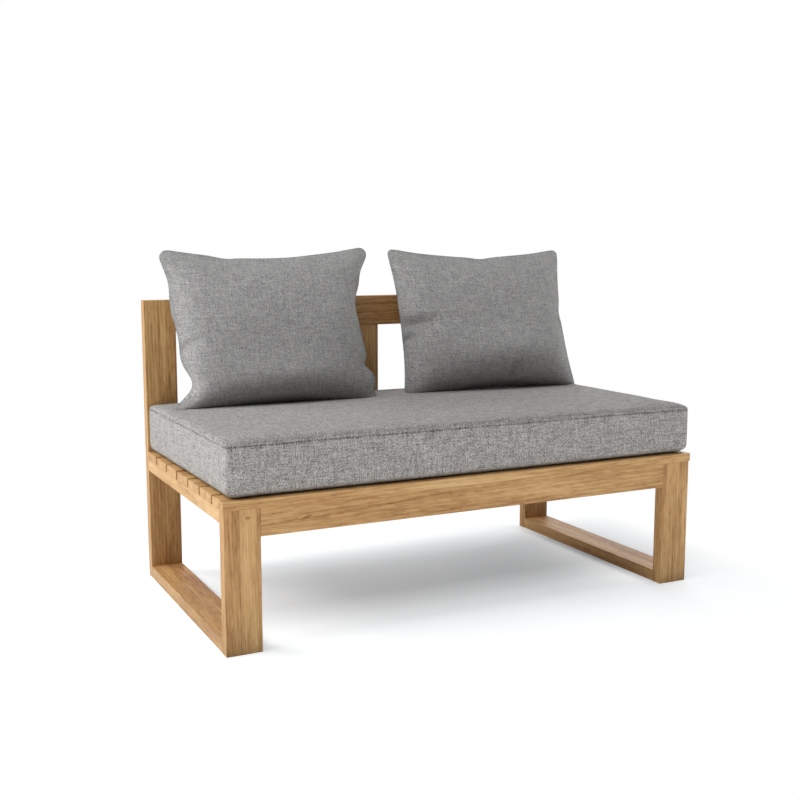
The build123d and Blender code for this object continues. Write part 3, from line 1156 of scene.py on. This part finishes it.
@dataclass
class TeakFrame:
    """The boards, the deck, the dowels and the slat screws, as the CAD model has them."""

    effects: Effects
    slats: int = 7

    def finishes(self) -> list[TeakFinish]:
        """Each board's finish, named after its node.

        Returns:
            The finishes.
        """
        posts = GrainWay.ALONG_Z
        rails = GrainWay.ALONG_Y
        cross = GrainWay.ALONG_X
        post_knot = Knot((-0.640, -0.376, 0.336), (0.007, 0.02, 0.006), depth=0.7)
        rail_knot = Knot((-0.675, 0.12, 0.034), (0.003, 0.008, 0.02))
        apron_knot = Knot((-0.492, -0.376, 0.3215), (0.022, 0.02, 0.005), slant=0.24, depth=0.8)
        boards = [
            TeakFinish(
                "left_front_post", posts, (0.31, 0.07, 0.72), (0.04, 0.13, -0.05), 0,
                (-0.6615, -0.617), (post_knot,), figure=0.85,
            ),
            TeakFinish("left_rear_post", posts, (2.3, 0.11, 0.66), (0.03, -0.05), 0, (-0.6585,)),
            TeakFinish(
                "left_bottom_rail", rails, (1.7, 0.9, 0.06), (-0.01, -0.1), 0,
                (-0.647,), (rail_knot,),
            ),
            TeakFinish("left_top_rail", rails, (3.1, 0.62, -0.3), (0.12,)),
            TeakFinish("right_front_post", posts, (5.3, 0.02, -0.61), (0.03, -0.05), 0, (0.672,)),
            TeakFinish("right_rear_post", posts, (7.7, 0.2, -0.73), (0.0, -0.06), 0, (0.66,)),
            # The right bottom rail's lighter inner stave is partly the board's own pale stripe and
            # partly painted light on its inner face.
            TeakFinish("right_bottom_rail", rails, (4.4, -0.6, 0.05), (0.12, -0.1), 0, (0.655,)),
            TeakFinish("right_top_rail", rails, (6.4, -0.72, -0.25)),
            # The apron's line at its top edge is painted shade at the joint under the front slat.
            TeakFinish(
                "front_apron", cross, (8.2, 0.43, -0.24), (0.02, 0.0), 2, (0.357,), (apron_knot,),
            ),
            TeakFinish("rear_apron", cross, (12.9, -0.33, -0.29), (-0.02,)),
            TeakFinish("centre_bearer", rails, (9.9, 0.04, -0.3), (-0.03,)),
            # The back rail's dark tones are partly painted shade from the pillows and partly the
            # board's own tone.
            TeakFinish("back_rail", cross, (14.6, -0.3, -0.71), (-0.16, -0.11), 2, (0.781,)),
            TeakFinish("centre_back_post", posts, (11.1, -0.3, 0.07), (0.0, 0.08), 0, (0.0145,)),
        ]
        # Each slat has its own tone and its own stretch of wood, and a line of painted shade along
        # its lower edge.
        for number in range(1, self.slats + 1):
            tone = 0.04 + 0.05 * math.sin(2.4 * number)
            seed = (20.0 + 1.9 * number, 0.05 * number, 0.04 * math.sin(1.7 * number) - 0.4)
            boards.append(TeakFinish(f"slat_{number}", cross, seed, (tone, tone), 2, (0.357,)))
        return boards

    def dress(self) -> None:
        """Give every board, dowel and screw its material."""
        for finish in self.finishes():
            dress(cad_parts[finish.name], finish.material(self.effects))
        dowel = PlainFinish("beech_dowel", (0.55, 0.38, 0.2), 0.7).material()
        steel = PlainFinish("screw_steel", (0.42, 0.42, 0.41), 0.35, 1.0).material()
        for node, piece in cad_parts.items():
            if node.endswith("_dowels"):
                dress(piece, dowel)
            elif node.endswith("_screws"):
                dress(piece, steel)
        log.info("frame: boards, dowels and screws dressed")


@dataclass
class SeatZip:
    """The zip in the rear boxing."""

    pitch: float = 0.0028
    slant: float = 0.45
    tape: Point = (0.02, 0.02, 0.021)
    tooth: Point = (0.1, 0.1, 0.105)
    roughness: Pair = (0.8, 0.5)
    bump: Pair = (0.6, 0.0006)

    def _coil(self) -> bpy.types.Material:
        """The coil's material: two rows of teeth, slanted away from the middle, on a dark tape.

        Returns:
            The material.
        """
        low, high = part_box("seat_zip")
        sheet = PieceSheet("zip_tape")
        side, _, rise = sheet.parts(sheet.place())
        row = sheet.maths("ABSOLUTE", sheet.maths("SUBTRACT", rise, (low[2] + high[2]) / 2))
        slanted = sheet.maths("MULTIPLY_ADD", row, self.slant, side)
        count = sheet.maths("DIVIDE", slanted, self.pitch)
        wave = sheet.maths("SINE", sheet.maths("MULTIPLY", sheet.maths("FRACT", count), math.pi))
        colour = sheet.ramp(wave, ((0.2, self.tape), (0.9, self.tooth)))
        rough = sheet.spread(wave, 0.0, 1.0, *self.roughness)
        return sheet.coat(colour, rough, wave, self.bump)

    def dress(self) -> None:
        """Give the zip's tape and slider their materials."""
        dress(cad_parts["seat_zip"], self._coil())
        slider = PlainFinish("zip_metal", self.tooth, 0.4, 0.8)
        dress(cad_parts["zip_slider"], slider.material())
        log.info("zip dressed")


@dataclass(frozen=True)
class SoftBox:
    """A soft studio lamp: where it stands, its power, what it points at and its size."""

    name: str
    place: Point
    watts: float
    aim: Point = (0.0, 0.0, 0.3)
    width: float = 2.4
    height: float = 2.2

    def build(self) -> None:
        """Add the lamp, turned so that its face looks at its aim."""
        lamp = bpy.data.lights.new(self.name, "AREA")
        lamp.shape = "RECTANGLE"
        lamp.size = self.width
        lamp.size_y = self.height
        lamp.energy = self.watts
        stand = added(self.name, lamp)
        stand.location = self.place
        way = Vector(self.aim) - Vector(self.place)
        stand.rotation_euler = way.to_track_quat("-Z", "Y").to_euler()


@dataclass
class Studio:
    """Camera, pale floor, white surround and soft lamps.

    The floor's glow is painted light that only the camera sees, tinted blue so that its shadow reads
    grey. It changes in steps, lighter in front of and behind the bench and darker to its right: an
    axis, where the step starts and ends, and the change.
    """

    eye: Point = (-1.4528, -2.8197, 0.9764)
    turn: Point = (82.02, 0.0, -26.45)
    lens: float = 49.594
    sensor: float = 36.0
    sight: float = 100.0
    floor_reach: float = 14.0
    floor_half: Point = (0.68, 0.42, 0.0)
    floor_fade: float = 0.32
    floor_shown: Point = (0.90, 0.88, 0.87)
    floor_glow: Point = (0.228, 0.286, 0.325)
    painted_glow_steps: tuple[tuple[int, float, float, float], ...] = (
        (1, -0.08, -0.26, 0.22), (1, 0.17, 0.40, 0.26), (0, 0.2, 0.55, -0.08),
    )
    floor_thrown: Point = (0.5, 0.5, 0.5)
    painted_bounce: float = 0.45
    painted_bounce_fade: float = 0.3
    painted_bounce_ahead: float = 1.0
    ahead: Pair = (-0.32, -0.5)

    def build(self) -> None:
        """Set up the whole studio."""
        bpy.context.scene.view_settings.view_transform = "Standard"
        self._camera()
        self._floor()
        self._surround()
        lamps = (
            SoftBox("left_lamp", (-3.0, 0.2, 3.2), 81.0),
            SoftBox("left_back_lamp", (-3.6, 2.0, 1.8), 82.0),
            SoftBox("left_front_lamp", (-2.0, -1.5, 4.0), 43.0),
            SoftBox("right_back_lamp", (2.6, 2.8, 2.6), 49.0),
            SoftBox("right_lamp", (3.0, 0.0, 3.2), 44.0),
        )
        for lamp in lamps:
            lamp.build()
        log.info("studio: %d lamps", len(lamps))

    def _camera(self) -> None:
        """The camera at the photograph's place and angle."""
        data = bpy.data.cameras.new("photo_camera")
        data.lens = self.lens
        data.sensor_width = self.sensor
        data.clip_end = self.sight
        camera = added("photo_camera", data)
        camera.location = self.eye
        camera.rotation_euler = tuple(math.radians(angle) for angle in self.turn)
        bpy.context.scene.camera = camera

    def _floor(self) -> None:
        """A pale floor that takes the bench's shadow, glows up at the bench as painted bounce light
        and is clear from below.
        """
        corners = np.array([(-1, -1, 0), (1, -1, 0), (1, 1, 0), (-1, 1, 0)], float)
        points = self.floor_reach * corners
        floor = Surface(points, np.array([[0, 1, 2, 3]]), points[None, :, :2]).piece("floor")
        material = bpy.data.materials.new("pale_floor")
        sheet = self._cleared(material)
        place = sheet.place()
        parts = sheet.parts(place)
        offset = sheet.vectors("SUBTRACT", sheet.vectors("ABSOLUTE", place), self.floor_half)
        away = sheet.length(sheet.vectors("MAXIMUM", offset, (0, 0, 0)))
        # Painted bounce light: the floor glows for the rays that light the bench, more away from it
        # and most in front.
        around = sheet.spread(away, 0.0, self.painted_bounce_fade, 0.0, self.painted_bounce)
        ahead = sheet.spread(parts[1], *self.ahead, 0.0, self.painted_bounce_ahead)
        lift = sheet.maths("ADD", around, ahead)
        # Painted light and shade on the floor, for the camera only: the steps lighten the shadow in
        # front and behind and darken it to the right.
        glow = self.floor_glow
        for axis, start, end, change in self.painted_glow_steps:
            step = sheet.spread(parts[axis], start, end, 0.0, change)
            glow = sheet.vectors("ADD", glow, sheet.joined(step, step, step))
        lighting = self._glowing(sheet, self.floor_thrown, sheet.joined(lift, lift, lift))
        shaded = self._glowing(sheet, self.floor_shown, glow)
        # Painted light: beyond the fade the floor shows plain white, which hides the bench's shadow
        # there.
        white = sheet.out("ShaderNodeEmission", {"Strength": 1.0})
        far = sheet.spread(away, 0.0, self.floor_fade, 0.0, 1.0)
        shown = self._between(sheet, far, shaded, white)
        above = self._between(sheet, self._seen(sheet), lighting, shown)
        below = sheet.node("ShaderNodeNewGeometry", {}).outputs["Backfacing"]
        clear = sheet.out("ShaderNodeBsdfTransparent", {})
        whole = self._between(sheet, below, above, clear)
        sheet.node("ShaderNodeOutputMaterial", {"Surface": whole})
        dress(floor, material)

    def _surround(self) -> None:
        """White wherever the camera or a gloss sees past the floor, and no light from there."""
        world = bpy.data.worlds.new("surround")
        bpy.context.scene.world = world
        sheet = self._cleared(world)
        white = {"Color": (1.0, 1.0, 1.0, 1.0)}
        unlit, lit = (
            sheet.out("ShaderNodeBackground", white | {"Strength": strength})
            for strength in (0.0, 1.0)
        )
        both = self._between(sheet, self._seen(sheet), unlit, lit)
        sheet.node("ShaderNodeOutputWorld", {"Surface": both})

    def _cleared(self, owner: bpy.types.Material | bpy.types.World) -> NodeSheet:
        """Empty a material's or a world's nodes.

        Args:
            owner: the material or the world.

        Returns:
            Its empty node sheet.
        """
        owner.use_nodes = True
        owner.node_tree.nodes.clear()
        return NodeSheet(owner.node_tree)

    def _glowing(self, sheet: NodeSheet, colour: Point, glow: Socket) -> Socket:
        """A matt shader with a glow added to it.

        Args:
            sheet: the floor's node sheet.
            colour: the matt colour.
            glow: the colour that is added.

        Returns:
            The two shaders together.
        """
        matt = sheet.out("ShaderNodeBsdfDiffuse", {"Color": (*colour, 1.0)})
        glare = sheet.out("ShaderNodeEmission", {"Color": glow})
        return sheet.out("ShaderNodeAddShader", {0: matt, 1: glare})

    def _between(self, sheet: NodeSheet, factor: Socket, first: Socket, second: Socket) -> Socket:
        """Two shaders mixed."""
        return sheet.out("ShaderNodeMixShader", {0: factor, 1: first, 2: second})

    def _seen(self, sheet: NodeSheet) -> Socket:
        """Tell rays that show the background from those that light the bench.

        Args:
            sheet: the node sheet to work on.

        Returns:
            One for camera, glossy and transmitted rays, nought for the rest.
        """
        path = sheet.node("ShaderNodeLightPath", {}).outputs
        some = sheet.maths("MAXIMUM", path["Is Camera Ray"], path["Is Glossy Ray"])
        return sheet.maths("MAXIMUM", some, path["Is Transmission Ray"])


def left_pillow(seat: float) -> BackPillow:
    """The left pillow, for a seat of the given height: slumped, its seam puckered at both sides."""
    return BackPillow(
        "left", seat,
        (-0.676, 0.192, 0.514), (-0.040, 0.176, 0.514), (0.0, 0.338, 0.970), (-0.656, 0.338, 0.963),
        ear=0.026,
        drop=0.022,
        bulge=Bulge(0.1, -0.7, 0.75, 0.26, 0.034),
        puckers=(
            Pucker(Side.LEFT, -0.64, 0.22, 0.056, 0.3),
            Pucker(Side.LEFT, -0.2, 0.4, 0.024, 0.4),
            Pucker(Side.LEFT, 0.6, 0.25, 0.012, 0.3),
            Pucker(Side.RIGHT, 0.32, 0.26, 0.029, 0.2),
            Pucker(Side.RIGHT, 0.68, 0.16, 0.014, 0.2),
            Pucker(Side.RIGHT, -0.05, 0.3, 0.015, 0.2),
            Pucker(Side.RIGHT, -0.28, 0.12, 0.003, 0.15),
            Pucker(Side.RIGHT, -0.49, 0.08, 0.018, 0.12),
            Pucker(Side.RIGHT, -0.66, 0.10, -0.008, 0.15),
            Pucker(Side.RIGHT, -0.81, 0.05, 0.004, 0.1),
            Pucker(Side.TOP, 0.0, 0.6, 0.005, 0.4),
            Pucker(Side.TOP, -0.4, 0.12, 0.006, 0.2),
        ),
        creases=(
            Crease((-0.93, -0.25), (-0.7, -0.12), 0.014, 0.012),
            Crease((-0.95, -0.5), (-0.8, -0.58), 0.016, 0.011),
            Crease((-0.9, -0.74), (-0.74, -0.64), 0.013, 0.011),
            Crease((0.76, 0.5), (1.0, 0.45), 0.026, 0.018),
        ),
    )


def right_pillow(seat: float) -> BackPillow:
    """The right pillow, for a seat of the given height: plump below, folded at its left side."""
    return BackPillow(
        "right", seat,
        (0.072, 0.206, 0.514), (0.689, 0.176, 0.514), (0.678, 0.288, 0.960), (0.068, 0.329, 0.964),
        ear=0.014,
        drop=0.014,
        bulge=Bulge(0.3, -0.5, 0.8, 0.36, 0.052),
        puckers=(
            Pucker(Side.TOP, 0.05, 0.12, 0.006, 0.2),
            Pucker(Side.LEFT, 0.0, 0.4, -0.004, 0.2),
            Pucker(Side.RIGHT, 0.1, 0.12, 0.005, 0.2),
        ),
        creases=(
            Crease((-1.0, 0.0), (-0.6, -0.04), 0.042, 0.018),
            Crease((-1.0, -0.26), (-0.8, -0.18), 0.034, 0.014),
            Crease((0.16, -0.6), (0.12, -0.82), 0.022, 0.017),
            Crease((-0.955, 0.95), (-0.95, 0.35), 0.005, 0.006),
        ),
    )


def main() -> None:
    """Dress the bench, piece by piece, and set up the studio."""
    logging.basicConfig(level=logging.INFO, format="%(name)s: %(message)s")
    effects = Effects(TeakGrain(), StaveLines(), KnotFlow(), MelangeWeave())
    TeakFrame(effects).dress()
    SeatZip().dress()
    fabrics = (
        MelangeFinish("seat_fabric", (0.066, 0.064, 0.062), (0.65, 0.625, 0.60)),
        MelangeFinish("pillow_fabric", (0.10, 0.099, 0.099), (0.67, 0.66, 0.652), fleck=1.2),
    )
    seat_cloth, pillow_cloth = (fabric.material(effects) for fabric in fabrics)
    seat = SeatCushion()
    dress(seat.build(), seat_cloth)
    for pillow in (left_pillow(seat.rest), right_pillow(seat.rest)):
        dress(pillow.build(), pillow_cloth)
    Studio().build()


if __name__ == "__main__":
    main()
